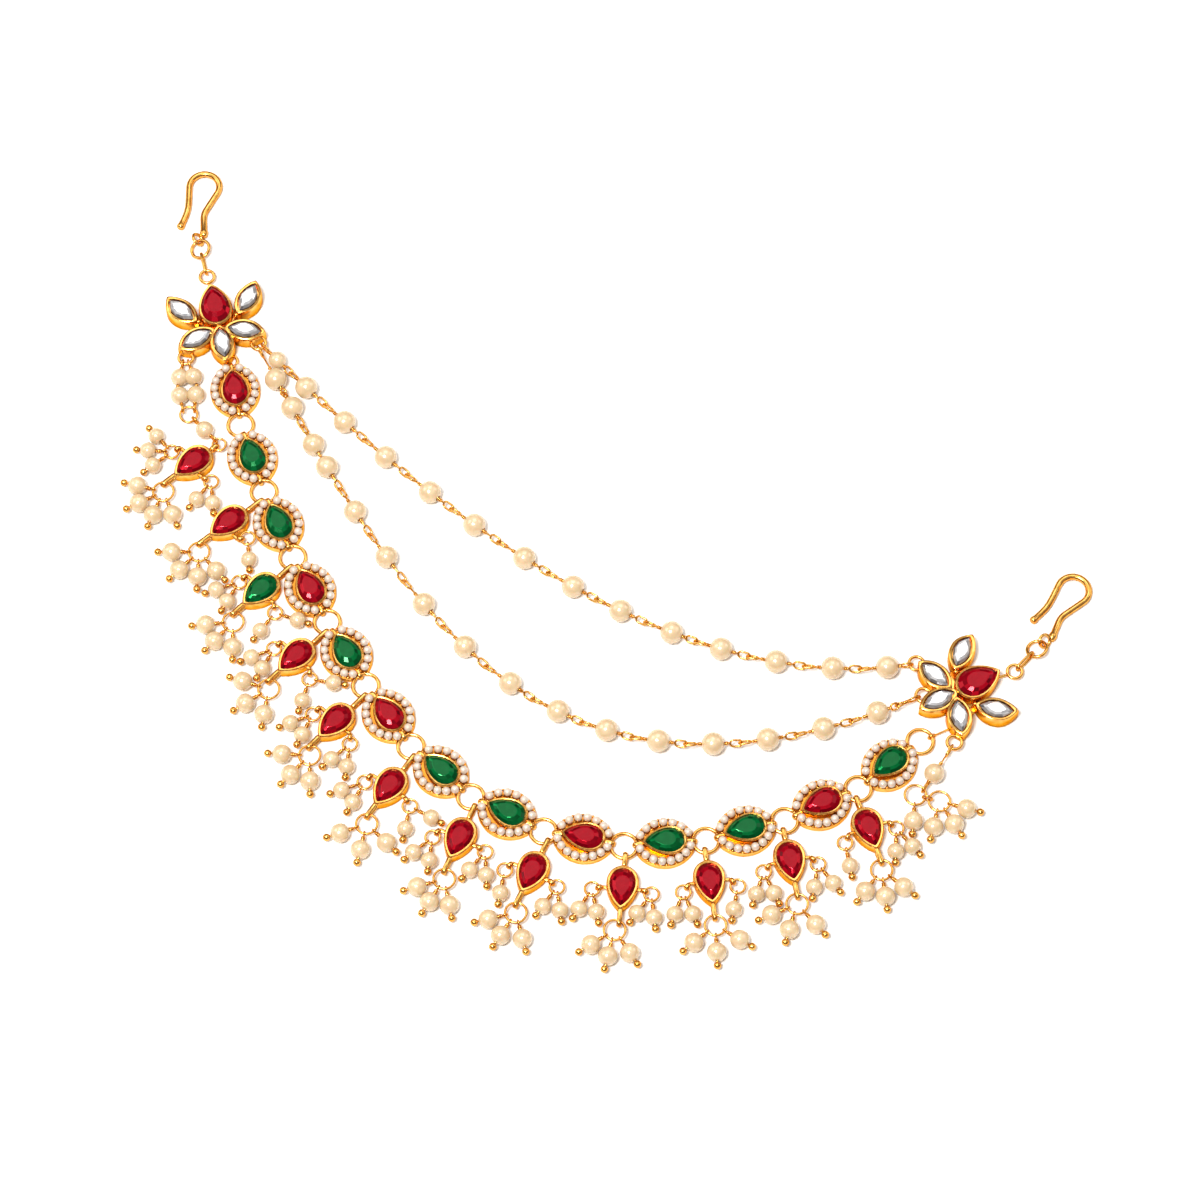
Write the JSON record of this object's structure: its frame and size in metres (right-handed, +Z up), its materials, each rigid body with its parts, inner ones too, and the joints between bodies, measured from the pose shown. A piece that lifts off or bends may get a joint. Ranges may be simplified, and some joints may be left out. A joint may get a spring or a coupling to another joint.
{
  "type": "hair chain",
  "caption": "Bridal hair chain of gold-plated pear motifs and flowers with red, green and clear stones, pearl strands, pearl drops and a hook at each end.",
  "frame": {"origin": "middle of the bounding box at the surface the chain lies on", "axes": "+X from the left flower to the right flower, +Y away from the viewer towards the left hook, +Z up out of the surface, through the faces of the stones"},
  "size_m": [0.2344, 0.214, 0.0055],
  "materials": {
    "gold_plate": "bright gold plating, polished",
    "red_stone": "faceted, foil backed",
    "green_stone": "faceted, foil backed",
    "clear_stone": "faceted, foil backed",
    "pearl": "pearl lacquer",
    "side_spray": "pearl lacquer on gold-plated pins"
  },
  "bodies": {
    "root": {"hook_left": "gold_plate", "hook_right": "gold_plate", "hook_links": "gold_plate", "flower_left": "gold_plate", "flower_right": "gold_plate", "motif_rings": "gold_plate", "spray_pins": "gold_plate", "strand_upper_pins": "gold_plate", "strand_lower_pins": "gold_plate", "tassel_pins": "gold_plate", "motif_01": "gold_plate", "motif_02": "gold_plate", "motif_03": "gold_plate", "motif_04": "gold_plate", "motif_05": "gold_plate", "motif_06": "gold_plate", "motif_07": "gold_plate", "motif_08": "gold_plate", "motif_09": "gold_plate", "motif_10": "gold_plate", "motif_11": "gold_plate", "motif_12": "gold_plate", "motif_13": "gold_plate", "drop_01": "gold_plate", "drop_02": "gold_plate", "drop_03": "gold_plate", "drop_04": "gold_plate", "drop_05": "gold_plate", "drop_06": "gold_plate", "drop_07": "gold_plate", "drop_08": "gold_plate", "drop_09": "gold_plate", "drop_10": "gold_plate", "drop_11": "gold_plate", "drop_12": "gold_plate", "motif_stone_01": "red_stone", "motif_stone_02": "green_stone", "motif_stone_03": "green_stone", "motif_stone_04": "red_stone", "motif_stone_05": "green_stone", "motif_stone_06": "red_stone", "motif_stone_07": "green_stone", "motif_stone_08": "green_stone", "motif_stone_09": "red_stone", "motif_stone_10": "green_stone", "motif_stone_11": "green_stone", "motif_stone_12": "red_stone", "motif_stone_13": "green_stone", "flower_stone_left": "red_stone", "flower_stone_right": "red_stone", "drop_stones_red": "red_stone", "drop_stone_green": "green_stone", "petal_stones": "clear_stone", "spray_pearls": "pearl", "strand_upper_pearls": "pearl", "strand_lower_pearls": "pearl", "tassel_pearls": "pearl", "spray_left": "side_spray", "spray_right": "side_spray"}
  },
  "joints": []
}
